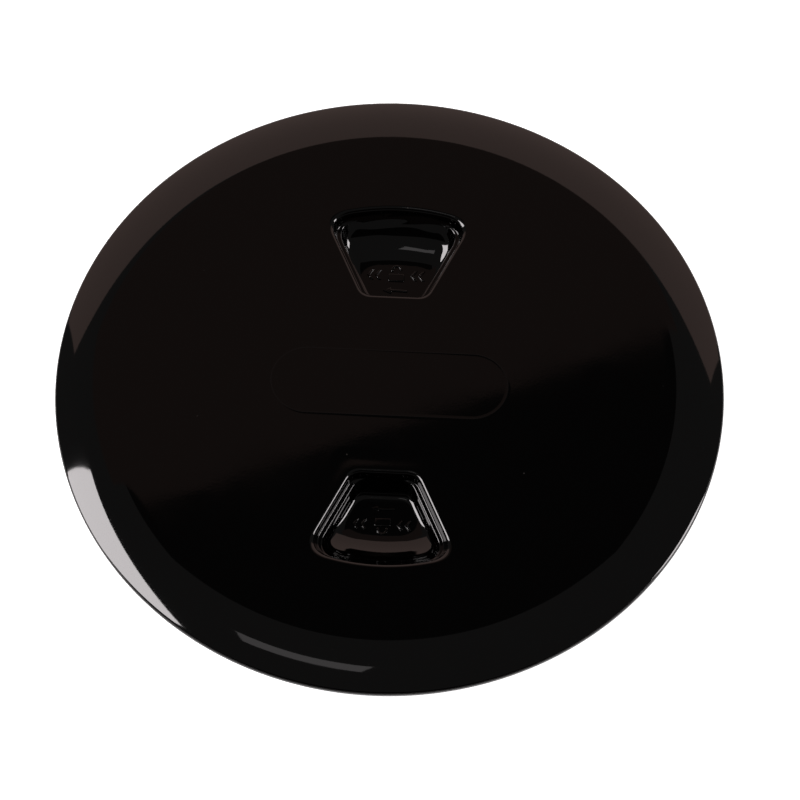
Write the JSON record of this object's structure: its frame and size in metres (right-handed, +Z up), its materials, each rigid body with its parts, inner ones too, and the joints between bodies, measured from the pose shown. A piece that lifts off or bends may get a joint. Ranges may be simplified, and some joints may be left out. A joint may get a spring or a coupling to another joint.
{
  "type": "deck hatch",
  "caption": "Round screw-out deck plate: flanged frame with a quick thread, and a domed lid with finger wells that covers the flange.",
  "frame": {"origin": "centre of the barrel's lower edge, on the lid's turning axis", "axes": "+Z up out of the deck along the lid's turning axis; the two finger wells lie along Y, at +Y and at -Y; +X to the right"},
  "size_m": [0.257, 0.257, 0.0322],
  "materials": {
    "lid_plastic": "polished black moulding",
    "frame_plastic": "black moulding, satin on its hidden faces",
    "gasket_foam": "matt closed-cell foam",
    "seal_rubber": "matt nitrile rubber",
    "screw_steel": "plain stainless steel"
  },
  "bodies": {
    "frame": {"frame_ring": "frame_plastic", "deck_gasket": "gasket_foam", "flange_screw_1": "screw_steel", "flange_screw_2": "screw_steel", "flange_screw_3": "screw_steel", "flange_screw_4": "screw_steel", "flange_screw_5": "screw_steel", "flange_screw_6": "screw_steel", "flange_screw_7": "screw_steel", "flange_screw_8": "screw_steel"},
    "seal": {"lid_o_ring": "seal_rubber"},
    "lid": {"lid": "lid_plastic"}
  },
  "joints": [
    {"name": "lid_rise", "type": "slide", "parent": "frame", "child": "seal", "axis": [0, 0, 1], "range_m": [0, 0.008]},
    {"name": "lid_turn", "type": "hinge", "parent": "seal", "child": "lid", "pos_m": [0, 0, 0.024], "axis": [0, 0, 1], "range_deg": [0, 120]}
  ],
  "couplings": [
    {"joint": "lid_rise", "follows": "lid_turn", "m_per_rad": 0.0038197}
  ]
}
